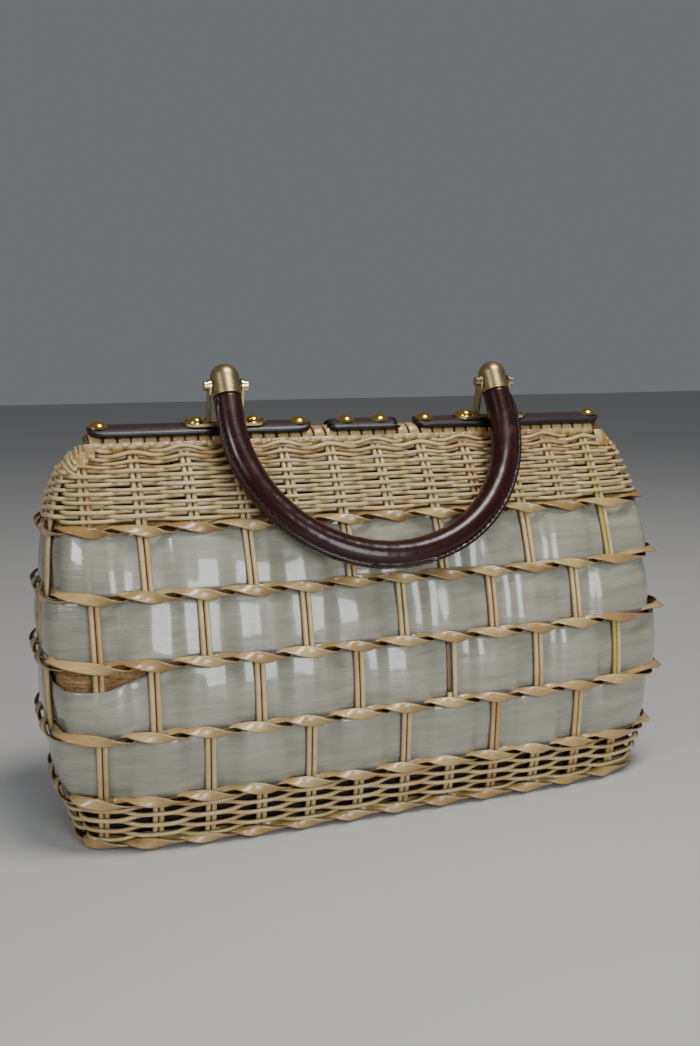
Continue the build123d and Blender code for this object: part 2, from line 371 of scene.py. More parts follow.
class Shop:
    """Builds one material's nodes."""

    def __init__(self, name: str) -> None:
        """Starts a material with its principled shader.

        Args:
            name: the material's name.
        """
        self.material = bpy.data.materials.new(name)
        self.material.use_nodes = True
        self.tree = self.material.node_tree
        self.shader = self.tree.nodes["Principled BSDF"]

    def node(self, kind: str, settings: dict, inputs: dict) -> bpy.types.Node:
        """Adds a node.

        Args:
            kind: the node's type.
            settings: its properties; a ramp's stops are (place, colour) pairs under "stops".
            inputs: value or link for each input, by name or number.

        Returns:
            The node.
        """
        made = self.tree.nodes.new(kind)
        for key, value in settings.items():
            if key == "stops":
                self._stops(made, value)
            else:
                setattr(made, key, value)
        for key, value in inputs.items():
            self.feed(made.inputs[key], value)
        return made

    def _stops(self, made: bpy.types.Node, stops: Sequence[tuple[float, Colour]]) -> None:
        """Sets a ramp's stops.

        Args:
            made: the ramp's node.
            stops: place and colour of each stop.
        """
        ramp = made.color_ramp.elements
        while len(ramp) < len(stops):
            ramp.new(0.5)
        for element, (spot, colour) in zip(ramp, stops):
            element.position = spot
            element.color = (*colour, 1)

    def feed(self, socket: bpy.types.NodeSocket, value: object) -> None:
        """Links or sets one input.

        Args:
            socket: the input.
            value: a Value or an output to link, or else a colour or a number.
        """
        if isinstance(value, Value):
            value = value.socket
        if isinstance(value, bpy.types.NodeSocket):
            self.tree.links.new(value, socket)
        elif isinstance(value, tuple) and socket.type == "RGBA":
            socket.default_value = (*value, 1)
        else:
            socket.default_value = value

    def attribute(self, name: str) -> Value:
        """The number of this name that is stored on the mesh."""
        made = self.node("ShaderNodeAttribute", {"attribute_name": name}, {})
        return Value(self, made.outputs["Fac"])

    def place(self, spots: Spots, scale: Colour) -> bpy.types.NodeSocket:
        """Coordinates, stretched.

        Args:
            spots: what they follow.
            scale: stretch along each axis.

        Returns:
            The vector.
        """
        where = self.node("ShaderNodeTexCoord", {}, {}).outputs[spots.value]
        made = self.node("ShaderNodeVectorMath", {"operation": "MULTIPLY"}, {0: where, 1: scale})
        return made.outputs[0]

    def part(self, spots: Spots, axis: int) -> Value:
        """One number of each point's coordinates.

        Args:
            spots: what they follow.
            axis: which of the three numbers.

        Returns:
            The number.
        """
        where = self.node("ShaderNodeTexCoord", {}, {}).outputs[spots.value]
        made = self.node("ShaderNodeSeparateXYZ", {}, {0: where})
        return Value(self, made.outputs[axis])

    def height(self) -> Value:
        """Height of each point in metres."""
        return self.part(Spots.FRAME, 2)

    def across(self) -> Value:
        """Place across a strand: 1 on its outer side and 0 on its inner side."""
        return self.part(Spots.ALONG, 1)

    def noise(self, where: bpy.types.NodeSocket, scale: float, detail: float = 3.0) -> Value:
        """Soft noise from about 0.3 to 0.7."""
        made = self.node("ShaderNodeTexNoise", {}, {"Vector": where, "Scale": scale, "Detail": detail})
        return Value(self, made.outputs[0])

    def ramp(self, value: Input, stops: Sequence[tuple[float, Colour]]) -> bpy.types.NodeSocket:
        """A colour for each value."""
        made = self.node("ShaderNodeValToRGB", {"stops": stops}, {0: value})
        return made.outputs[0]

    def mix(self, share: Input, first: object, second: object, how: str = "MIX") -> bpy.types.NodeSocket:
        """Mixes two colours.

        Args:
            share: how much of the second colour.
            first: the first colour.
            second: the second colour.
            how: the way they blend.

        Returns:
            The mixed colour.
        """
        settings = {"data_type": "RGBA", "blend_type": how}
        made = self.node("ShaderNodeMix", settings, {0: share, 6: first, 7: second})
        return made.outputs[2]

    def bump(self, height: Input, strength: float, depth: float) -> None:
        """Feeds the shader's normal from a height in metres of depth."""
        made = self.node("ShaderNodeBump", {}, {"Strength": strength, "Distance": depth, "Height": height})
        self.feed(self.shader.inputs["Normal"], made.outputs[0])

    def set(self, **values: object) -> None:
        """Sets or links the shader's own sockets; spaces in their names are underscores."""
        for key, value in values.items():
            self.feed(self.shader.inputs[key.replace("_", " ")], value)


# Finishes


@dataclass(frozen=True)
class Finish:
    """A finish: the material slot it belongs to and how its material is made."""

    name: str
    slot: str

    def material(self) -> bpy.types.Material:
        """Makes the material, once.

        Returns:
            The material.
        """
        ready = bpy.data.materials.get(self.name)
        if ready:
            return ready
        shop = Shop(self.name)
        self.paint(shop)
        return shop.material

    def paint(self, shop: Shop) -> None:
        """Builds the nodes.

        Args:
            shop: the material's shop.
        """
        raise NotImplementedError


@dataclass(frozen=True)
class ReedFinish(Finish):
    """Varnished reed or cane: a tone for each strand, streaks along it, a few dark specks and painted shade
    towards its inner side.
    """

    pale: Colour = (0.58, 0.43, 0.215)
    warm: Colour = (0.43, 0.25, 0.10)
    green: Colour = (0.47, 0.40, 0.17)
    dyed: Colour = (0.40, 0.33, 0.06)
    # painted shade: colour towards the inner side of each strand, where neighbouring strands shade it
    painted_shade: Colour = (0.10, 0.055, 0.028)
    dark: Colour = (0.085, 0.045, 0.02)
    gloss: float = 0.32
    streak: float = 26.0
    coat: float = 0.35
    tone_share: float = 0.32
    patch_share: float = 0.9
    patch_size: float = 45.0
    speck_share: float = 0.55
    # place across the strand where the painted shade begins
    painted_shade_start: float = 0.26

    def paint(self, shop: Shop) -> None:
        """Builds the nodes.

        Args:
            shop: the material's shop.
        """
        tone = shop.attribute("tone")
        mark = shop.attribute("mark")
        soft = shop.noise(shop.place(Spots.FRAME, PLAIN), self.patch_size)
        streaks = shop.noise(shop.place(Spots.ALONG, (0.35, self.streak / 4, 1)), 4.0, 4.0)
        specks = shop.noise(shop.place(Spots.ALONG, (2.5, 5, 1)), 3.0, 2.0)
        shift = (tone * self.tone_share + soft * self.patch_share + 0.05).held()
        stops = ((0.0, self.dyed), (0.16, self.green), (0.48, self.pale), (0.82, self.warm))
        base = shop.ramp(shift, stops)
        shade = shop.ramp(streaks, ((0.3, (0.62, 0.58, 0.5)), (0.6, WHITE)))
        base = shop.mix(0.75, base, shade, "MULTIPLY")
        # painted shade: darkens each strand from its outer side towards its inner side
        painted_shade = ((shop.across() - self.painted_shade_start) * 1.9).held() ** 0.8
        shade = shop.ramp(painted_shade, ((0.0, self.painted_shade), (0.9, WHITE)))
        base = shop.mix(1.0, base, shade, "MULTIPLY")
        spots = ((specks - 0.66) * 9.0).held()
        base = shop.mix(spots * self.speck_share, base, self.warm)
        base = shop.mix(mark, base, self.dark)
        shop.set(Base_Color=base, Roughness=(streaks * 0.3 + (self.gloss - 0.1)).held())
        shop.set(Coat_Weight=self.coat, Coat_Roughness=0.12)
        shop.bump(streaks, 0.35, 0.0004)


@dataclass(frozen=True)
class VinylFinish(Finish):
    """Pearlised grey-white vinyl with fine streaks along the band."""

    low: Colour = (0.205, 0.192, 0.145)
    high: Colour = (0.30, 0.286, 0.225)
    milky: Colour = (0.35, 0.35, 0.30)
    coat: float = 0.8
    waviness: float = 2.5

    def paint(self, shop: Shop) -> None:
        """Builds the nodes.

        Args:
            shop: the material's shop.
        """
        fine = shop.noise(shop.place(Spots.ALONG, (0.22, 34, 1)), 3.0, 5.0)
        broad = shop.noise(shop.place(Spots.ALONG, (0.10, 3.0, 1)), 2.2, 2.0)
        cloud = shop.noise(shop.place(Spots.FRAME, PLAIN), 16.0)
        base = shop.ramp(fine * 0.55 + broad * 0.45, ((0.38, self.low), (0.62, self.high)))
        base = shop.mix(((cloud - 0.5) * 1.6).held(), base, self.milky)
        shop.set(Base_Color=base, Roughness=(fine * 0.26 + 0.10).held())
        shop.set(Coat_Weight=self.coat, Coat_Roughness=0.06)
        shop.bump(fine * 0.35 + broad * 0.9 + cloud * self.waviness, 0.35, 0.0008)


@dataclass(frozen=True)
class LeatherFinish(Finish):
    """Leather with grain, scuffs and a worn or dark edge."""

    base: Colour = (0.018, 0.0018, 0.0014)
    worn: Colour = (0.085, 0.011, 0.007)
    edge: Colour = (0.003, 0.003, 0.004)
    gloss: float = 0.26
    wear: float = 0.5
    grain: float = 900.0
    patch_size: float = 38.0
    scuff_size: float = 170.0
    coat: float = 0.22

    def paint(self, shop: Shop) -> None:
        """Builds the nodes.

        Args:
            shop: the material's shop.
        """
        where = shop.place(Spots.FRAME, PLAIN)
        grain = shop.noise(where, self.grain, 2.0)
        patches = shop.noise(where, self.patch_size, 4.0)
        scuffs = shop.noise(where, self.scuff_size, 5.0)
        mark = shop.attribute("mark")
        rubbed = ((scuffs * 0.6 + patches * 0.4 - 0.56) * 9.0).held() * self.wear
        base = shop.mix(rubbed, self.base, self.worn)
        base = shop.mix(mark, base, self.edge)
        shop.set(Base_Color=base, Roughness=(patches * 0.3 + rubbed * 0.25 + (self.gloss - 0.12)).held())
        shop.set(Coat_Weight=self.coat, Coat_Roughness=0.12, Specular_IOR_Level=0.3)
        shop.bump(grain * 0.5 + scuffs * 0.5, 0.30, 0.00035)


@dataclass(frozen=True)
class BrassFinish(Finish):
    """Brass, from satin to bright, with tarnish in patches."""

    base: Colour = (0.74, 0.60, 0.30)
    tarnish: Colour = (0.34, 0.25, 0.11)
    gloss: float = 0.18
    brushed: float = 0.0
    stain: float = 0.5
    stain_size: float = 260.0

    def paint(self, shop: Shop) -> None:
        """Builds the nodes.

        Args:
            shop: the material's shop.
        """
        patches = shop.noise(shop.place(Spots.FRAME, PLAIN), self.stain_size, 4.0)
        lines = shop.noise(shop.place(Spots.FRAME, FIBRES), 2.0, 2.0)
        dull = ((patches - 0.52) * 6.0).held() * self.stain
        shop.set(Base_Color=shop.mix(dull, self.base, self.tarnish), Metallic=1.0)
        shop.set(Roughness=(dull * 0.3 + lines * (0.25 * self.brushed) + self.gloss).held())
        shop.bump(lines, 0.12 * self.brushed + 0.02, 0.0002)


@dataclass(frozen=True)
class BoardFinish(Finish):
    """Bare fibre board or plain wood, with fibres, and painted shade below the height dark_below when it is
    set.
    """

    low: Colour = (0.13, 0.065, 0.022)
    high: Colour = (0.46, 0.27, 0.105)
    # painted shade: height in metres below which the board is painted dark, 0 for none
    dark_below: float = 0.0
    painted_low_shade: Colour = (0.012, 0.008, 0.005)
    speck_size: float = 600.0

    def paint(self, shop: Shop) -> None:
        """Builds the nodes.

        Args:
            shop: the material's shop.
        """
        fibres = shop.noise(shop.place(Spots.FRAME, FIBRES), 1.4, 5.0)
        specks = shop.noise(shop.place(Spots.FRAME, PLAIN), self.speck_size, 2.0)
        base = shop.ramp(fibres * 0.7 + specks * 0.3, ((0.36, self.low), (0.64, self.high)))
        # painted shade towards the bottom of the board
        if self.dark_below:
            share = ((self.dark_below - shop.height()) * 500.0).held()
            base = shop.mix(share, base, self.painted_low_shade)
        shop.set(Base_Color=base, Roughness=0.85)
        shop.bump(fibres, 0.6, 0.0006)


REED = ReedFinish("straw reed", "reed")
CANE = ReedFinish(
    "glossy split cane",
    "cane",
    pale=(0.41, 0.255, 0.092),
    warm=(0.31, 0.17, 0.052),
    green=(0.52, 0.365, 0.16),
    dyed=(0.52, 0.38, 0.18),
    gloss=0.24,
    streak=44.0,
    coat=0.7,
)
# the same cane with its painted shade set to white, so none is painted
LOOP = replace(CANE, name="plain cane", painted_shade=WHITE)
VINYL = VinylFinish("pearl vinyl", "vinyl")
STRAP = LeatherFinish(
    "strap leather",
    "strap_leather",
    base=(0.022, 0.009, 0.010),
    worn=(0.075, 0.030, 0.027),
    gloss=0.42,
    grain=700.0,
)
HANDLE = LeatherFinish("handle leather", "handle_leather")
THREAD = ReedFinish(
    "waxed thread",
    "handle_leather",
    pale=(0.05, 0.022, 0.012),
    warm=(0.06, 0.026, 0.014),
    green=(0.04, 0.018, 0.010),
    gloss=0.6,
    coat=0.0,
)
BRIGHT = BrassFinish("bright brass", "bright_brass", base=(0.72, 0.47, 0.10), gloss=0.13)
PALE = BrassFinish("pale brass", "pale_brass", base=(0.62, 0.50, 0.27), gloss=0.20)
SATIN = BrassFinish("satin brass", "cap_brass", base=(0.44, 0.33, 0.17), gloss=0.2, brushed=1.0, stain=0.25)
BOARD = BoardFinish("fibre board", "board")
# painted shade on the lining's lower part, which shows through the gaps in the lower reeds
LINING = replace(BOARD, name="lining board", dark_below=0.027)
# painted shade: the hidden bar is darkened so the slits between its wraps show dark
WOOD = BoardFinish("darkened bar wood", "bar_wood", low=(0.045, 0.024, 0.012), high=(0.11, 0.06, 0.03))
CORE = BoardFinish("handle core", "core", low=(0.25, 0.16, 0.09), high=(0.42, 0.29, 0.17))


# The basket's form


@dataclass
class Form:
    """The basket's outline at every height, and where its upright reeds stand."""

    levels: tuple[tuple[float, float, float, float], ...] = (
        (0.0, 164.0, -51.0, 51.0),
        (14.0, 169.5, -55.5, 55.5),
        (40.0, 176.5, -59.0, 59.0),
        (75.0, 180.0, -60.0, 60.5),
        (110.0, 179.5, -55.5, 60.5),
        (140.0, 177.0, -47.5, 58.5),
        (165.0, 174.0, -37.5, 54.0),
        (185.0, 168.0, -26.0, 40.0),
        (198.0, 161.0, -16.0, 20.0),
        (206.0, 154.0, -8.5, 7.0),
    )
    roundness: float = 5.0
    flat_share: float = 0.97
    pitch: float = 26.8
    across: int = 12
    offset: float = -9.0
    end_shares: tuple[float, ...] = (-0.37, 0.06, 0.5)
    middle_out: float = -2.2
    split_low: tuple[float, float] = (54.0, 166.2)
    split_high: tuple[float, float] = (6.0, 206.0)

    @property
    def count(self) -> int:
        """Number of upright pairs all round."""
        return 2 * (self.across + len(self.end_shares))

    def size(self, z: float) -> tuple[float, float, float]:
        """The outline at a height, on a smooth line through the levels.

        Args:
            z: the height.

        Returns:
            Half width, half depth and middle Y.
        """
        table = np.array(self.levels)
        heights = table[:, 0]
        z = min(max(z, heights[0]), heights[-1])
        i = int(min(np.searchsorted(heights, z, "right") - 1, len(heights) - 2))
        slopes = np.gradient(table[:, 1:], heights, axis=0)
        span = heights[i + 1] - heights[i]
        t = (z - heights[i]) / span
        basis = (2 * t**3 - 3 * t**2 + 1, (t**3 - 2 * t**2 + t) * span)
        basis += (3 * t**2 - 2 * t**3, (t**3 - t**2) * span)
        a, front, back = (
            basis[0] * table[i, 1:] + basis[1] * slopes[i]
            + basis[2] * table[i + 1, 1:] + basis[3] * slopes[i + 1]
        )
        return a, (back - front) / 2, (back + front) / 2

    @property
    def split(self) -> tuple[float, float]:
        """Run and rise of the lid's split line."""
        return self.split_high[0] - self.split_low[0], self.split_high[1] - self.split_low[1]

    def behind_split(self, points: Array) -> Array:
        """How far points lie behind and above the lid's split line.

        Args:
            points: the points, one row each.

        Returns:
            The distances, less than 0 in front of the line.
        """
        run, rise = self.split
        y, z = points[:, 1], points[:, 2]
        return ((y - self.split_low[0]) * rise - (z - self.split_low[1]) * run) / math.hypot(run, rise)

    def share(self, other: Union[float, Array]) -> Union[float, Array]:
        """How far out the outline is on one axis, for its share of the other, both 0 to 1."""
        return (1 - np.abs(other) ** self.roundness) ** (1 / self.roundness)


class Course:
    """One level line round the basket, read by upright number."""

    POINTS = 2400
    OVERRUN = 0.4
    NEAR = 1.2

    def __init__(self, form: Form, z: float) -> None:
        """Measures the outline at a height.

        Args:
            form: the basket's form.
            z: the height.
        """
        self.form = form
        a, b, middle = form.size(z)
        angle = np.linspace(math.pi, 4 * math.pi + self.OVERRUN, self.POINTS)
        power = 2 / form.roundness
        c = np.cos(angle)
        s = np.sin(angle)
        self.x = a * np.sign(c) * np.abs(c) ** power
        self.y = middle + b * np.sign(s) * np.abs(s) ** power
        step = np.hypot(np.diff(self.x), np.diff(self.y))
        self.s = np.concatenate([[0.0], np.cumsum(step)])
        spots = (np.arange(form.across) - (form.across - 1) / 2) * form.pitch + form.offset
        spots = np.clip(spots, -form.flat_share * a, form.flat_share * a)
        ends = middle + b * np.array(form.end_shares)
        half = math.pi / 2
        stations = [
            self._find(angle, self.x, spots, 2 * half, 4 * half),
            self._find(angle, self.y, ends, 3 * half, 5 * half),
            self._find(angle, -self.x, -spots[::-1], 4 * half, 6 * half),
            self._find(angle, -self.y, -ends[::-1], 5 * half, 7 * half),
            self._find(angle, self.x, spots[:1], 6 * half, 8 * half),
        ]
        self.stations = np.concatenate(stations)

    def _find(self, angle: Array, values: Array, wanted: Array, low: float, high: float) -> Array:
        """Arc lengths where rising values reach the wanted ones, within a stretch of the outline."""
        inside = (angle >= low) & (angle <= high)
        return np.interp(wanted, values[inside], self.s[inside])

    def at(self, u: Array) -> tuple[Array, Array]:
        """Points and outward directions in plan.

        Args:
            u: place round the basket, where 0 is the first upright on the front.

        Returns:
            The points and the unit directions, two numbers each.
        """
        count = self.form.count
        turns = np.floor(u / count)
        s = np.interp(u - turns * count, np.arange(count + 1), self.stations)
        x = np.interp(s, self.s, self.x)
        y = np.interp(s, self.s, self.y)
        before, after = s - self.NEAR, s + self.NEAR
        dx = np.interp(after, self.s, self.x) - np.interp(before, self.s, self.x)
        dy = np.interp(after, self.s, self.y) - np.interp(before, self.s, self.y)
        length = np.hypot(dx, dy) + 1e-9
        return np.stack([x, y], 1), np.stack([dy / length, -dx / length], 1)


def bell(u: Array, middle: float, width: float, count: int) -> Array:
    """A soft bump round one place of the basket."""
    gap = (u - middle + count / 2) % count - count / 2
    return np.exp(-((gap / width) ** 2))


def rounded(phase: Array, flat: float) -> Array:
    """A wave that stays at its crests for longer as flat grows past 1."""
    return np.sin(np.clip(np.cos(phase) * flat, -1, 1) * np.pi / 2)


@dataclass(frozen=True)
class Cane:
    """A flat cane's half width and half thickness, and how far it rises and falls as it twists."""

    wide: float
    thick: float
    rise: float


@dataclass
class Basket:
    """The woven parts: courses of reed, twisted canes, vinyl bands, uprights and foot.

    A band of reeds is its lowest course, its highest course and their number. A row of twisted cane
    is its name, its height and how far it stands out at the left and right ends.
    """

    form: Form = field(default_factory=Form)
    reed: float = 1.12
    reed_spread: float = 0.08
    upright: float = 1.4
    pair_gap: float = 3.1
    swing: float = 2.35
    reed_flat: float = 1.25
    reed_tone: float = 0.6
    drift: float = 0.22
    drift_turns: tuple[float, float] = (0.7, 1.9)
    upper: Band = (167.3, 201.4, 17)
    lower: Band = (6.6, 24.4, 7)
    lid: Band = (169.5, 203.0, 15)
    round_wave: float = -0.45
    split_wave: float = 0.1
    crest: float = 0.2
    crest_rows: int = 7
    notch_rows: int = 4
    notch: tuple[float, float] = (0.22, 0.62)
    arch_drop: float = 7.6
    arch_step: float = 2.5
    arch_reach: float = 7.0
    arch_dip: float = 5.0
    arch_width: float = 0.75
    arch_out: float = 1.2
    arch_step_in: float = 0.35
    upright_heights: tuple[float, float, float] = (3.0, 203.0, 4.0)
    broken: int = 7
    gap_heights: tuple[float, float] = (68.0, 92.0)
    stub_heights: tuple[float, float] = (64.0, 97.0)
    twist_swing: float = 2.9
    twist_flat: float = 1.15
    twist_out: float = 0.7
    twist_tone: float = 0.4
    row_cane: Cane = Cane(2.7, 0.6, 1.7)
    foot_cane: Cane = Cane(2.7, 0.8, 0.7)
    foot: float = 3.7
    rows: tuple[tuple[str, float, tuple[float, float]], ...] = (
        ("e", 28.0, (0.6, 1.0)),
        ("d", 62.0, (3.4, 1.2)),
        ("c", 98.0, (4.6, 2.2)),
        ("b", 131.0, (0.8, 2.4)),
        ("a", 163.0, (0.6, 1.4)),
    )
    band_margin: float = 1.2
    band_thick: float = 0.45
    slipped: int = 3
    slip: float = 10.5
    board: tuple[float, float] = (6.5, 158.5)
    board_behind: float = -4.0
    board_thick: float = 1.7
    corner_turns: int = 4
    corner_middle: tuple[float, float, float] = (150.4, -3.0, 197.2)
    corner_radius: float = 7.9
    corner_cane: Cane = Cane(2.5, 0.7, 0.0)
    binding: float = 2.6
    binding_heights: tuple[float, float, int] = (166.6, 202.5, 60)
    binding_in: float = 0.992
    wall_share: float = 0.9985
    trim: float = 0.7
    samples: int = 9
    seed: int = 11

    def __post_init__(self) -> None:
        """Starts the random draws."""
        self.rng = np.random.default_rng(self.seed)

    def trimmed(self, z: float, low: float, high: float, part: Weave) -> tuple[float, float]:
        """The stretch of a course that lies on its own side of the lid's split.

        Args:
            z: the course's height.
            low: first place to try.
            high: last place to try.
            part: the part of the basket it belongs to.

        Returns:
            First and last place, equal if there is none.
        """
        steps = 40
        u = np.linspace(low, high, int((high - low) * steps) + 1)
        points, _ = self.line(z, np.zeros(len(u)), np.zeros(len(u)), u)
        behind = self.form.behind_split(points)
        own = np.flatnonzero(behind > self.trim if part is Weave.LID else behind < -self.trim)
        if not len(own):
            return low, low
        return float(u[own[0]]), float(u[own[-1]])

    def line(self, z: float, swing: Array, lift: Array, u: Array) -> tuple[Array, Array]:
        """A strand's path along one course.

        Args:
            z: the course's height.
            swing: how far it stands out from the middle of the wall.
            lift: how far it rises above the course.
            u: places round the basket.

        Returns:
            The points and the outward directions.
        """
        spots, out = Course(self.form, z).at(u)
        reach = (self.form.middle_out + swing)[:, None]
        points = np.concatenate([spots + out * reach, (z + lift)[:, None]], 1)
        step = 3.0
        a, b, middle = self.form.size(z)
        up_a, up_b, up_middle = self.form.size(z + step)
        facing = out[:, 1]
        wall = ((up_b - b) - np.sign(facing) * (middle - up_middle)) / step
        lean = np.where(np.abs(facing) > 0.7, wall, (up_a - a) / step)
        tilt = np.concatenate([out, -lean[:, None]], 1)
        points[:, :2] += out * (lift * lean)[:, None]
        return points, unit(tilt)

    def spread(self, low: float, high: float) -> Array:
        """Evenly spaced places from low to high."""
        return np.linspace(low, high, int((high - low) * self.samples) + 1)

    def course(
        self,
        mesher: Mesher,
        z: float,
        row: int,
        part: Weave,
        wave: float,
        span: Optional[tuple[float, float]] = None,
        crest: float = 0.0,
    ) -> None:
        """Weaves one reed in and out of the uprights.

        Args:
            mesher: where the reed goes.
            z: its height.
            row: its number, which says where it passes in front.
            part: the part of the basket it belongs to.
            wave: how far it rises where it passes in front of an upright.
            span: first and last place, or the whole way round.
            crest: how far it rises at every upright.
        """
        n = self.form.count
        back = n - (len(self.form.end_shares) + self.form.across / 2) - 0.5
        if part is Weave.LID:
            low, high = back - n / 2, back + n / 2
        else:
            low, high = back - n, back
        if span:
            low, high = span
        elif part is not Weave.ROUND:
            low, high = self.trimmed(z, low, high, part)
            if high - low < 1.0:
                return
        closed = part is Weave.ROUND and span is None
        u = self.spread(low, high)
        if closed:
            u = u[:-1]
        phase = np.pi * (u + row)
        swing = self.swing * rounded(phase, self.reed_flat)
        rough = self.rng.normal(0, 1, 6)
        slow = rough[0] * np.sin(u * self.drift_turns[0] + rough[1])
        quick = rough[2] * np.sin(u * self.drift_turns[1] + rough[3])
        lift = wave * np.cos(phase) + crest * np.cos(TURN * u) + self.drift * (slow + quick)
        points, out = self.line(z, swing, lift, u)
        radius = self.reed * (1 + self.reed_spread * rough[4])
        mesher.strand(points, out, radius, radius, float(rough[5]) * self.reed_tone, closed=closed)

    def weave(self, name: str, node: str, band: Band, part: Weave, body: Body) -> None:
        """Weaves a band of round reed.

        Args:
            name: the piece's name.
            node: the frame's node it replaces.
            band: lowest and highest course and their number.
            part: the part of the basket.
            body: the body it rides on.
        """
        mesher = Mesher()
        low, high, number = band
        for row in range(number):
            z = low + (high - low) * row / (number - 1)
            wave = self.round_wave if part is Weave.ROUND else self.split_wave
            open_rows = max(0, row - (number - self.crest_rows)) if part is not Weave.ROUND else 0
            span = None
            if part is Weave.BODY and row >= number - self.notch_rows:
                span = (self.notch[0], self.form.across - self.notch[1])
            self.course(mesher, z, row, part, wave, span, self.crest * open_rows)
        if part is Weave.BODY:
            self._end_arches(mesher, high)
        place(mesher.build(name), body, REED, [node])

    def _end_arches(self, mesher: Mesher, top: float) -> None:
        """Reeds that arch over each rounded end beside the notch.

        Args:
            mesher: where the reeds go.
            top: height of the highest course.
        """
        n = self.form.count
        last = self.form.across
        for side in (-1, 1):
            for k in range(self.notch_rows):
                z = top - self.arch_drop + self.arch_step * k
                if side < 0:
                    u = self.spread(-self.arch_reach, 0.05 - 0.1 * k)
                    dip = bell(u, 0.2, self.arch_width, n)
                else:
                    u = self.spread(last - 0.35 + 0.05 * k, last + self.arch_reach)
                    dip = bell(u, last - 0.5, self.arch_width, n)
                swing = self.arch_out + 0.5 * dip - self.arch_step_in * k
                points, out = self.line(z, swing, -self.arch_dip * dip, u)
                keep = self.form.behind_split(points) < -2 * self.trim
                radius = self.reed * 1.02
                mesher.strand(points[keep], out[keep], radius, radius, float(self.rng.normal(0, 0.5)))

    def _tracks(self, heights: Array) -> tuple[Array, Array]:
        """Where the upright reeds run.

        Args:
            heights: heights of the points.

        Returns:
            Points by height, pair and reed, and outward directions by height and pair.
        """
        count = self.form.count
        tracks = np.zeros((len(heights), count, 2, 3))
        outs = np.zeros((len(heights), count, 3))
        for i, z in enumerate(heights):
            spots, out = Course(self.form, z).at(np.arange(count, dtype=float))
            side = np.stack([out[:, 1] * -1, out[:, 0]], 1)
            middle = spots + out * self.form.middle_out
            for j, sign in enumerate((-1, 1)):
                tracks[i, :, j, :2] = middle + side * sign * self.pair_gap / 2
                tracks[i, :, j, 2] = z
            outs[i, :, :2] = out
        return tracks, outs

    def uprights(self) -> None:
        """Pairs of upright reeds, with one broken away and one green."""
        body = Mesher()
        lid = Mesher()
        top = 200.0
        clear = 1.5
        green = -2.2
        low, high, step = self.upright_heights
        tracks, outs = self._tracks(np.concatenate([np.arange(low, high, step), [high + 0.5]]))
        for k in range(self.form.count):
            for j in range(2):
                path = tracks[:, k, j]
                z = path[:, 2]
                out = outs[:, k]
                tone = float(self.rng.normal(0.1, 0.45))
                behind = self.form.behind_split(path)
                keep = (behind < -clear) & (z < top)
                if k == self.broken and j == 0:
                    for part in (z < self.gap_heights[0], z > self.gap_heights[1]):
                        body.strand(path[keep & part], out[keep & part], self.upright, self.upright, tone)
                    torn = keep & (z > self.stub_heights[0]) & (z < self.stub_heights[1])
                    body.strand(path[torn] - out[torn] * 1.2, out[torn], 1.0, 0.7, tone, mark=0.85)
                    continue
                if k == self.form.across - 1 and j == 0:
                    tone = green
                body.strand(path[keep], out[keep], self.upright, self.upright, tone)
                over = behind > clear
                if over.sum() > 3:
                    lid.strand(path[over], out[over], self.upright, self.upright, tone)
        place(body.build("upright_reeds"), Body.BASKET, REED, ["stakes"])
        place(lid.build("lid_uprights"), Body.LID, REED)

    def twist(
        self,
        name: str,
        z: float,
        node: str,
        cane: Cane,
        part: Weave,
        loose: tuple[float, float] = (0.0, 0.0),
    ) -> None:
        """Two flat canes twisted round the uprights.

        Args:
            name: the piece's name.
            z: height of the row.
            node: the frame's node it replaces.
            cane: the cane.
            part: the part of the basket.
            loose: how far one cane stands out at the left and right ends.
        """
        mesher = Mesher()
        n = self.form.count
        start = 10.5
        left_end = n - 0.55
        right_end = self.form.across - 0.2
        left, right = loose
        for strand in range(2):
            u = self.spread(-start, n - start)[:-1]
            phase = np.pi * (u + strand)
            rough = self.rng.normal(0, 1, 4)
            swing = self.twist_swing * rounded(phase, self.twist_flat) + self.twist_out
            lift = -cane.rise * np.sin(phase) + 0.25 * np.sin(u * 1.3 + rough[0])
            if strand == 0:
                swing = swing + left * bell(u, left_end, 0.42, n) + right * bell(u, right_end, 0.3, n)
                lift = lift + 0.35 * left * bell(u, left_end, 0.5, n)
            points, out = self.line(z, swing, lift, u)
            turn = np.arctan2(np.sin(phase) * self.twist_flat, np.abs(np.cos(phase)) + 0.12)[:, None]
            out = out * np.cos(turn) - np.sin(turn) * np.array(UP)
            width = cane.wide * (1 + 0.12 * np.cos(phase) + 0.05 * np.sin(u * 2.1 + rough[1]))
            keep = np.ones(len(u), bool)
            if part is Weave.BODY:
                keep = self.form.behind_split(points) < -0.4
            path, out, width = points[keep], out[keep], width[keep]
            tone = float(rough[2]) * self.twist_tone
            closed = bool(keep.all())
            mesher.strand(path, out, width, cane.thick, tone, sides=12, closed=closed, square=0.6)
        place(mesher.build(name), Body.BASKET, CANE, [node])

    def ring_sheet(self, name: str, finish: "Finish", node: str, layers: Sequence, thick: float) -> None:
        """A sheet that goes all the way round the basket.

        Args:
            name: the piece's name.
            finish: its finish.
            node: the frame's node it replaces.
            layers: points and outward directions for each height, lowest first.
            thick: the sheet's thickness.
        """
        mesher = Mesher()
        top = np.stack([points for points, _ in layers[::-1]], 1)
        under = np.stack([points - out * thick for points, out in layers[::-1]], 1)
        mesher.slab(top, under, 0.0, np.zeros(top.shape[:2]), closed=True)
        place(mesher.build(name), Body.BASKET, finish, [node])

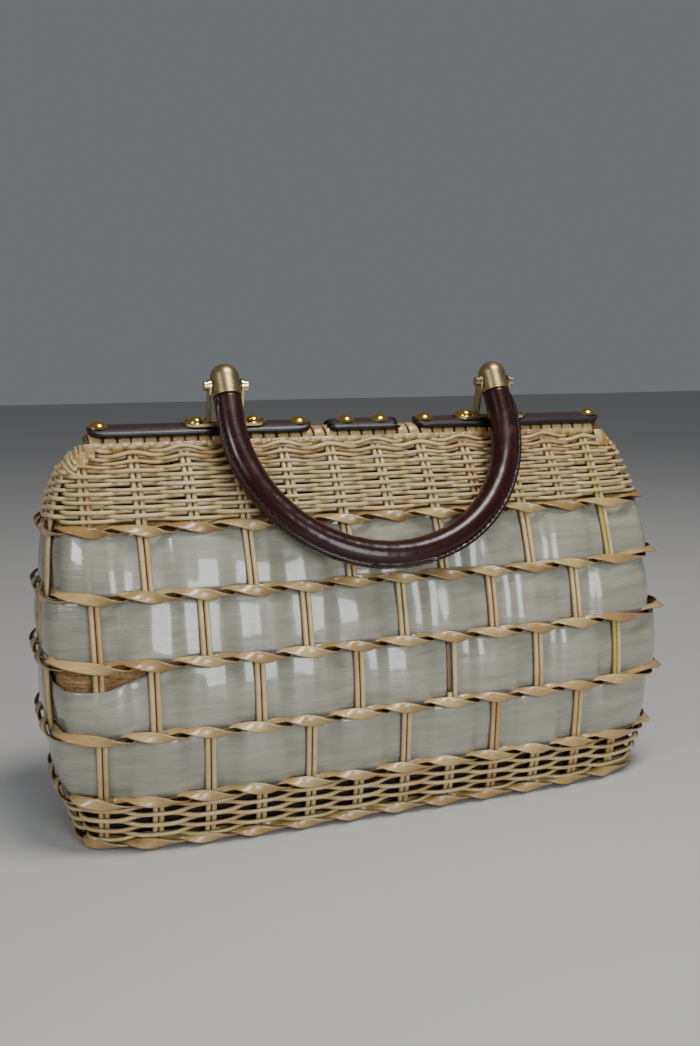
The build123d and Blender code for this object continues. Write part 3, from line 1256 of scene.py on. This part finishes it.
    def vinyl(self, number: int, low: float, high: float) -> None:
        """A vinyl band that passes in front of one upright pair and behind the next.

        Args:
            number: the band's number from the top.
            low: height of its lower edge.
            high: height of its upper edge.
        """
        n = self.form.count
        per = 16
        cols = 15
        sharp = 2.6
        u = np.arange(n * per) / per
        phase = np.pi * (u + number + 1)
        plateau = np.tanh(sharp * np.cos(phase)) / math.tanh(sharp)
        ridge = 0.6 * np.exp(-(((u + number) % 2 - 1) / 0.14) ** 2)
        sway = self.rng.normal(0, 1, (4, cols))[0, 0]
        drop = np.zeros(len(u))
        if number == self.slipped:
            gap = (u + n / 2) % n - n / 2
            drop = self.slip * np.clip((1.35 - gap) / 1.25, 0, 1) * (gap > -2.5)
            drop *= np.clip((gap + 2.5) / 1.5, 0, 1)
        layers = []
        for share in np.arange(cols) / (cols - 1):
            slack = 0.28 * (sway * np.sin(u * 0.9 + share * 3 + number) + np.sin(u * 2.3 + 4 * share))
            edge = 4 * share * (1 - share)
            swing = 1.75 * plateau + ridge * edge + slack * edge + 0.9 * edge - 0.4
            lift = -drop * share**1.5 + 0.5 * np.sin(u * 1.7 + number) * (share - 0.5)
            layers.append(self.line(low + (high - low) * share, swing, lift, u))
        self.ring_sheet(f"vinyl_band_{number}", VINYL, f"vinyl_strip_{number}", layers, self.band_thick)

    def lining(self) -> None:
        """The fibre board behind the vinyl, with painted shade along its bottom."""
        u = np.arange(self.form.count * 6) / 6
        behind, level = np.full(len(u), self.board_behind), np.zeros(len(u))
        layers = [self.line(z, behind, level, u) for z in np.linspace(*self.board, 30)]
        self.ring_sheet("lining_board", LINING, "lining", layers, self.board_thick)

    def bindings(self) -> None:
        """Flat cane bound round the basket's mouth and round the lid's edge."""
        low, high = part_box("lid_rim")
        rod = (low + high) / 2 / MM
        run, rise = self.form.split
        beside, above = 0.64, 0.77
        for name, body, gap in (
            ("mouth_binding", Body.BASKET, -self.binding),
            ("lid_binding", Body.LID, self.binding),
        ):
            places = []
            ways = []
            for z in np.linspace(*self.binding_heights):
                a, b, middle = self.form.size(z)
                y = self.form.split_low[0] + (z - self.form.split_low[1]) * run / rise + gap * beside
                share = (y - middle) / b
                if share > self.wall_share:
                    continue
                places.append((a * self.form.share(share), y, z + gap * above))
                ways.append((places[-1][0] / 40, share * 2, 0.6))
            if body is Body.LID:
                places.append((high.x / MM + 6, rod.y + 1, rod.z - 0.8))
                places.append((high.x / MM - 2, rod.y, rod.z))
                ways += ways[-1:] * 2
            right = np.array(places)
            out = np.array(ways)
            flip = np.array([-1, 1, 1])
            across = np.linspace(-right[0, 0], right[0, 0], 60)[1:-1]
            back_out = np.tile([0.0, 1.0, 0.4], (len(across), 1))
            path = np.concatenate([(right * flip)[::-1], self._back_line(across, right[0, 2]), right])
            out = np.concatenate([(out * flip)[::-1], back_out, out])
            path[:, :2] *= self.binding_in
            wide = 2.1 + 0.15 * np.sin(np.arange(len(path)) * 0.9)
            mesher = Mesher()
            mesher.strand(path, out, wide, 1.4, 0.2, sides=10)
            place(mesher.build(name), body, CANE)

    def _back_line(self, x: Array, z: float) -> Array:
        """A line along the back wall.

        Args:
            x: X of each point.
            z: its height.

        Returns:
            The points.
        """
        a, b, middle = self.form.size(z)
        y = middle + b * self.form.share(np.minimum(np.abs(x / a), 0.999))
        return np.stack([x, y + 1.1, np.full(len(x), z)], 1)

    def corner_bands(self) -> None:
        """Flat canes over each top corner, which step down from the end of the rim bar."""
        mesher = Mesher()
        reach, count = 118, 19
        end, bar_y, bar_z = self.corner_middle
        cane = self.corner_cane
        angle = np.radians(np.linspace(-reach, reach, count))
        for side in (-1, 1):
            for k in range(self.corner_turns):
                radius = self.corner_radius - 0.25 * k
                middle = bar_z - 0.7 * k - 0.55 * k * k
                x = side * (end + 3.5 * k - 0.7 * np.cos(angle) * k)
                y = bar_y - radius * np.sin(angle)
                z = middle + radius * np.cos(angle)
                out = np.stack([np.full(count, side * 0.16 * k), -np.sin(angle), np.cos(angle)], 1)
                path = np.stack([x, y, z], 1)
                tone = float(self.rng.normal(0.1, 0.6))
                mesher.strand(path, out, cane.wide, cane.thick, tone, sides=12, square=0.55)
        place(mesher.build("corner_bands"), Body.BASKET, CANE)

    def base(self) -> None:
        """Reeds woven across the bottom."""
        mesher = Mesher()
        a, b, _ = self.form.size(2.0)
        step, count, margin = 2.7, 60, 8
        for k, y in enumerate(np.arange(-b + margin, b - margin + 1, step)):
            reach = (a - 5) * self.form.share(y / (b - 4))
            x = np.linspace(-reach, reach, count)
            z = 1.75 + 0.45 * np.cos(np.pi * (x / self.form.pitch + k))
            path = np.stack([x, np.full(count, y), z], 1)
            out = np.tile(UP, (count, 1))
            mesher.strand(path, out, 1.25, 1.0, float(self.rng.normal(0, 0.5)), sides=6)
        place(mesher.build("base_reeds"), Body.BASKET, REED, ["base_weave"])

    def build(self) -> None:
        """Builds every woven piece."""
        self.weave("upper_reeds", "upper_weave", self.upper, Weave.BODY, Body.BASKET)
        self.weave("lower_reeds", "lower_weave", self.lower, Weave.ROUND, Body.BASKET)
        self.weave("lid_reeds", "lid_panel", self.lid, Weave.LID, Body.LID)
        self.uprights()
        for name, z, loose in self.rows:
            part = Weave.BODY if name == "a" else Weave.ROUND
            self.twist(f"twist_{name}", z, f"cane_row_{name}", self.row_cane, part, loose)
        for number, (lower, upper) in enumerate(zip(self.rows[::-1][1:], self.rows[::-1]), 1):
            self.vinyl(number, lower[1] + self.band_margin, upper[1] - self.band_margin)
        self.twist("foot_braid", self.foot, "foot_border", self.foot_cane, Weave.ROUND)
        self.lining()
        self.bindings()
        self.corner_bands()
        self.base()


# Rim


@dataclass
class Rim:
    """The wrapped bar at the front of the mouth, the lid's rim and the leather on the bar."""

    y: float = -3.0
    z: float = 203.0
    tilt: float = 14.0
    radius: float = 7.4
    half: float = 152.5
    wrap_pitch: float = 7.1
    rod_pitch: float = 5.2
    strap_inner: float = 31.0
    strap_outer: float = 151.0
    patch_half: float = 19.0
    spread: float = 45.0
    under: float = 7.65
    thick: float = 3.35
    crown: float = 10.6
    corner: float = 9.0
    cane: float = 0.75
    cane_share: float = 0.435
    end_curve: tuple[float, float] = (2.6, 0.38)
    narrowest: float = 0.25
    edge_from: float = 0.86
    dark_from: float = 0.66
    seed: int = 5

    def around(self, x: Array, radius: Array, angle: Array) -> Array:
        """Points round the bar.

        Args:
            x: X of each point.
            radius: its distance from the bar's axis.
            angle: its angle, where 0 is the tilted top and positive is to the front.

        Returns:
            The points.
        """
        turn = angle + math.radians(self.tilt)
        y = self.y - radius * np.sin(turn)
        z = self.z + radius * np.cos(turn)
        return np.stack(np.broadcast_arrays(x, y, z), -1)

    def wrap(self, mesher: Mesher, half: float, radius: float, y: float, z: float, pitch: float) -> None:
        """Flat cane wound round a bar along X.

        Args:
            mesher: where the cane goes.
            half: half the bar's length.
            radius: radius over the cane.
            y: the bar's Y.
            z: the bar's height.
            pitch: from turn to turn.
        """
        rng = np.random.default_rng(self.seed)
        turns = int(2 * half / pitch)
        steps = 22
        over = 0.04
        for k in range(turns):
            t = np.linspace(-over, 1 + over, steps)
            start = -half + pitch * 0.5 + k * (2 * half - pitch) / turns
            slant = pitch * (0.55 + 0.06 * rng.normal())
            x = start + slant * (t - 0.5) + 0.15 * rng.normal()
            angle = TURN * t - math.pi / 2
            lift = radius - self.cane + 0.12 * rng.normal()
            path = np.stack([x, y + lift * np.sin(angle), z - lift * np.cos(angle)], 1)
            out = np.stack([0 * x, np.sin(angle), -np.cos(angle)], 1)
            tone = float(rng.normal(0.1, 0.5))
            mesher.strand(path, out, pitch * self.cane_share, self.cane, tone, sides=12, square=0.55)

    def strap(
        self,
        name: str,
        low: float,
        high: float,
        node: str,
        ragged: float = 0.0,
        square: bool = False,
    ) -> None:
        """Leather bent over the bar, with rounded or torn ends.

        Args:
            name: the piece's name.
            low: its left end.
            high: its right end.
            node: the frame's node it replaces.
            ragged: how ragged its ends are, in millimetres.
            square: whether its ends are cut square.
        """
        rng = np.random.default_rng(len(name))
        rows = 90
        cols = 25
        share = np.linspace(-1, 1, cols)
        top = np.zeros((rows, cols, 3))
        under = np.zeros_like(top)
        mark = np.zeros((rows, cols))
        wave = rng.normal(0, 1, (2, cols)) * ragged
        for i in range(rows):
            t = i / (rows - 1)
            x = low + (high - low) * t
            from_left = x - low
            from_right = high - x
            ends = min(from_left, from_right)
            shrink = 1.0
            if ends < self.corner and not square:
                near_end = (1 - ends / self.corner) ** self.end_curve[0]
                shrink = max((1 - near_end) ** self.end_curve[1], self.narrowest)
            fade = 3.0
            near = math.exp(-from_left / fade), math.exp(-from_right / fade)
            drift = 0.6 * math.sin(x * 0.09) + 0.4 * math.sin(x * 0.23 + 1)
            angle = np.radians(share * (self.spread * shrink + drift))
            outer = np.minimum(self.under + self.thick, self.crown / np.maximum(np.cos(angle), 0.3))
            rim = np.clip((np.abs(share) - self.edge_from) / 0.14, 0, 1)
            outer = outer - 0.9 * rim**3
            outer = outer - 0.8 * math.exp(-((ends / 0.9) ** 2))
            jag = wave[0] * near[0] - wave[1] * near[1]
            top[i] = self.around(x + jag, outer, angle)
            under[i] = self.around(x + jag, np.full(cols, self.under), angle)
            cut = np.clip((np.abs(share) - self.dark_from) / 0.06, 0, 1)
            mark[i] = np.clip(cut + math.exp(-ends / 0.8), 0, 1)
        mesher = Mesher()
        mesher.slab(top, under, 0.0, mark)
        place(mesher.build(name), Body.BASKET, STRAP, [node])

    def build(self) -> None:
        """Builds the wraps and the leather."""
        mesher = Mesher()
        self.wrap(mesher, self.half, self.radius + 0.15, self.y, self.z, self.wrap_pitch)
        place(mesher.build("rim_wrapping"), Body.BASKET, CANE, ["rim_wrap"])
        low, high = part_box("lid_rim")
        middle = (low + high) / 2 / MM
        mesher = Mesher()
        half, radius = (high.x - low.x) / 2 / MM, (high.z - low.z) / 2 / MM
        self.wrap(mesher, half, radius + 0.3, middle.y, middle.z, self.rod_pitch)
        count = 12
        x = np.linspace(low.x, high.x, count) / MM
        core = np.stack([x, np.full(count, middle.y), np.full(count, middle.z)], 1)
        mesher.strand(core, np.tile(UP, (count, 1)), 1.8, 1.8, 0.5)
        place(mesher.build("lid_rim_wrapping"), Body.LID, CANE, ["lid_rim"])
        self.strap("left_strap_leather", -self.strap_outer, -self.strap_inner, "left_strap")
        self.strap("right_strap_leather", self.strap_inner, self.strap_outer, "right_strap")
        self.strap("torn_patch", -self.patch_half, self.patch_half, "centre_patch", 1.5, True)


# Handle


@dataclass
class Handle:
    """The leather-covered U, with its raised seam, the torn stretch and the stitches."""

    pivot_x: float = 79.0
    drop: float = 100.0
    lean: float = 28.5
    radius: float = 7.5
    top: float = 7.1
    seam_turn: float = 28.0
    seam_reach: float = 1.9
    seam_half: float = 1.0
    torn: tuple[float, float] = (-15.0, 17.0)
    stitch: float = 3.6
    thread: float = 0.36
    stitch_out: float = 1.1
    seed: int = 3

    def centre(self) -> tuple[float, float]:
        """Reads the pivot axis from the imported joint.

        Returns:
            Its Y and Z.
        """
        joint = next(j for j in frame["joints"] if j["name"] == "handle_swing")
        spot = joint["pos_m"]
        return spot[1] / MM, spot[2] / MM

    def track(self, count: int) -> tuple[Array, Array, Array]:
        """The U's middle line.

        Args:
            count: number of points.

        Returns:
            The points, the directions out of the bow, and the direction square to its plane.
        """
        straight = self.drop - self.pivot_x
        arm = straight - self.top
        bow = math.pi * self.pivot_x
        s = np.linspace(0, 2 * arm + bow, count)
        angle = np.clip((s - arm) / self.pivot_x, 0, math.pi)
        x = -self.pivot_x * np.cos(angle)
        down = np.minimum(self.top + s, straight) + self.pivot_x * np.sin(angle)
        down = np.where(s > arm + bow, straight - (s - arm - bow), down)
        tip = math.radians(self.lean)
        y0, z0 = self.centre()
        points = np.stack([x, y0 - down * math.sin(tip), z0 - down * math.cos(tip)], 1)
        across = -np.cos(angle)
        fall = np.sin(angle)
        out = np.stack([across, -fall * math.sin(tip), -fall * math.cos(tip)], 1)
        plane = np.tile([0.0, -math.cos(tip), math.sin(tip)], (count, 1))
        return points, out, plane

    def build(self) -> None:
        """Builds the cover, seam and stitches."""
        points, out, plane = self.track(170)
        x = points[:, 0]
        radius = self.radius * (1 + 0.006 * np.sin(x * 0.5) + 0.005 * np.sin(x * 1.3 + 1))
        cover = Mesher()
        cover.strand(points, plane, radius, radius, 0.0, sides=32)
        place(cover.build("handle_leather"), Body.HANDLE, HANDLE, ["handle_cover"])
        turn = math.radians(self.seam_turn)
        ray = out * math.cos(turn) + plane * math.sin(turn)
        square = unit(np.cross(np.gradient(points, axis=0), ray))
        low_part = points[:, 2] < self.centre()[1] - 60
        inside = (x > self.torn[0]) & (x < self.torn[1]) & low_part
        rng = np.random.default_rng(self.seed)
        self._seam(points, ray, square, inside, rng)
        self._stitches(points, ray, square, inside, rng)

    def _seam(self, points: Array, ray: Array, square: Array, inside: Array, rng: Random) -> None:
        """Builds the raised seam, which is worn down where it is torn.

        Args:
            points: the handle's middle line.
            ray: directions from it to the seam.
            square: directions across the seam.
            inside: whether each point is in the torn stretch.
            rng: the random draws.
        """
        count = len(points)
        from_end = np.minimum(np.arange(count), np.arange(count)[::-1])
        fade = np.clip(from_end / 6, 0.1, 1)
        reach = np.where(inside, 0.7 + 0.5 * rng.random(count), self.seam_reach) * fade
        root = 0.8
        middle = points + ray * (self.radius - root + reach / 2)[:, None]
        seam = Mesher()
        seam.strand(middle, square, reach / 2 + root, self.seam_half, 0.0, sides=12, mark=0.25)
        place(seam.build("handle_seam"), Body.HANDLE, HANDLE)

    def _stitches(self, points: Array, ray: Array, square: Array, inside: Array, rng: Random) -> None:
        """Builds a row of stitches on each face of the seam.

        Args:
            points: the handle's middle line.
            ray: directions from it to the seam.
            square: directions across the seam.
            inside: whether each point is in the torn stretch.
            rng: the random draws.
        """
        threads = Mesher()
        length = lengths(points)
        margin = 4.0
        bend = np.array([-1.35, -0.9, 0.0, 0.9, 1.35])
        rise = np.array([-0.35, 0.1, 0.28, 0.1, -0.35])
        for spot in np.arange(margin, length[-1] - margin, self.stitch):
            i = int(np.searchsorted(length, spot))
            ahead = points[min(i + 1, len(points) - 1)] - points[i]
            ahead /= np.linalg.norm(ahead)
            if inside[i]:
                self._loose(threads, points[i], ray[i], ahead, square[i], rng)
                continue
            for face in (-1, 1):
                side = square[i] * face
                middle = points[i] + ray[i] * (self.radius + 0.45) + side * self.stitch_out
                path = middle + bend[:, None] * ahead + rise[:, None] * side
                out = np.tile(square[i], (len(bend), 1))
                threads.strand(path, out, self.thread, self.thread, 0.3, sides=6)
        place(threads.build("handle_stitches"), Body.HANDLE, THREAD)

    def _loose(
        self,
        mesher: Mesher,
        spot: Array,
        ray: Array,
        ahead: Array,
        square: Array,
        rng: Random,
    ) -> None:
        """Adds one frayed stitch where the seam is torn.

        Args:
            mesher: where the thread goes.
            spot: the handle's middle there.
            ray: direction of the seam.
            ahead: direction along the handle.
            square: direction across the seam.
            rng: the random draws.
        """
        start = spot + ray * (self.radius - 0.2)
        wander = rng.normal(0, 0.5, 3)
        count = 6
        t = np.linspace(0, 1, count)[:, None]
        curl = ahead * (wander[0] * 2 * t**2 + 0.6 * t)
        path = start + ray * 2.6 * t + curl + square * wander[1] * 1.6 * t
        mesher.strand(path, np.tile(square, (count, 1)), 0.24, 0.24, 1.0, sides=5)


# Frame nodes that keep their own shape


@dataclass
class Metalwork:
    """The brass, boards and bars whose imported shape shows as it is."""

    finishes: tuple[tuple[Finish, tuple[str, ...]], ...] = (
        (BRIGHT, ("tacks", "plate_rivets")),
        (PALE, ("left_plate", "right_plate", "left_bracket", "right_bracket")),
        (PALE, ("left_pin", "right_pin", "pin_washers")),
        (SATIN, ("left_cap", "right_cap")),
        (BOARD, ("base_board",)),
        (WOOD, ("rim_bar",)),
        (CORE, ("handle_core",)),
        (LOOP, ("lid_loops", "body_loops", "hinge_rod")),
    )

    def build(self) -> None:
        """Gives each node its material."""
        for finish, names in self.finishes:
            for name in names:
                dress(frame["nodes"][name], finish)
                LOG.info("%s: dressed in %s", name, finish.name)


# Studio


@dataclass(frozen=True)
class Lamp:
    """A soft rectangular light that faces the bag."""

    name: str
    spot: Colour
    size: tuple[float, float]
    power: float
    tint: Colour

    def light(self, target: Colour) -> None:
        """Adds the light to the scene.

        Args:
            target: the point it faces.
        """
        light = bpy.data.lights.new(self.name, "AREA")
        light.shape = "RECTANGLE"
        light.size, light.size_y = self.size
        light.energy = self.power
        light.color = self.tint
        holder = link(self.name, light)
        holder.location = self.spot
        aim = Vector(target) - Vector(self.spot)
        holder.rotation_euler = aim.to_track_quat("-Z", "Y").to_euler()


@dataclass
class Studio:
    """Floor, soft lights and the camera."""

    eye: tuple[float, float, float] = (-0.2190, -0.5769, 0.2464)
    yaw: float = 20.275
    pitch: float = 8.534
    roll: float = -0.466
    lens: float = 37.58
    sensor: float = 36.0
    nearest: float = 0.01
    target: Colour = (0.0, 0.0, 0.11)
    floor_tint: Colour = (0.46, 0.45, 0.445)
    floor_reach: float = 6.0
    sky: Colour = (0.72, 0.76, 0.80)
    sky_power: float = 0.22
    lamps: tuple[Lamp, ...] = (
        Lamp("window", (0.12, -1.15, 0.38), (0.46, 0.60), 8.0, (0.90, 0.97, 1.0)),
        Lamp("ceiling", (0.25, -0.45, 1.5), (0.6, 0.5), 19.0, (1.0, 0.97, 0.92)),
        Lamp("left", (-1.2, -0.7, 0.9), (0.3, 0.4), 6.0, (0.93, 0.97, 1.0)),
    )

    def camera(self) -> None:
        """Sets the camera at the bag's front, a little to its left and above."""
        yaw, pitch, roll = (math.radians(v) for v in (self.yaw, self.pitch, self.roll))
        ahead = Vector((math.sin(yaw) * math.cos(pitch), math.cos(yaw) * math.cos(pitch), -math.sin(pitch)))
        level = Vector((math.cos(yaw), -math.sin(yaw), 0))
        up = level.cross(ahead)
        right = level * math.cos(roll) + up * math.sin(roll)
        above = up * math.cos(roll) - level * math.sin(roll)
        lens = bpy.data.cameras.new("camera")
        lens.lens = self.lens
        lens.sensor_width = self.sensor
        lens.clip_start = self.nearest
        holder = link("camera", lens)
        turn = Matrix((right, above, -ahead)).transposed().to_4x4()
        holder.matrix_world = Matrix.Translation(self.eye) @ turn
        bpy.context.scene.camera = holder

    def floor(self) -> None:
        """Lays the pale floor."""
        shop = Shop("pale floor")
        shop.set(Base_Color=self.floor_tint, Roughness=0.6)
        mesh = bpy.data.meshes.new("floor")
        far = self.floor_reach
        corners = [(-far, -far, 0), (far, -far, 0), (far, far, 0), (-far, far, 0)]
        mesh.from_pydata(corners, [], [(0, 1, 2, 3)])
        mesh.materials.append(shop.material)
        link("floor", mesh)

    def build(self) -> None:
        """Builds floor, light and camera."""
        self.floor()
        world = bpy.data.worlds.new("studio")
        world.use_nodes = True
        back = world.node_tree.nodes["Background"]
        back.inputs["Color"].default_value = (*self.sky, 1)
        back.inputs["Strength"].default_value = self.sky_power
        bpy.context.scene.world = world
        for lamp in self.lamps:
            lamp.light(self.target)
        self.camera()


def main() -> None:
    """Builds the whole bag and its studio."""
    logging.basicConfig(level=logging.INFO, format="%(name)s %(message)s")
    Basket().build()
    Rim().build()
    Handle().build()
    Metalwork().build()
    Studio().build()


if __name__ == "__main__":
    main()
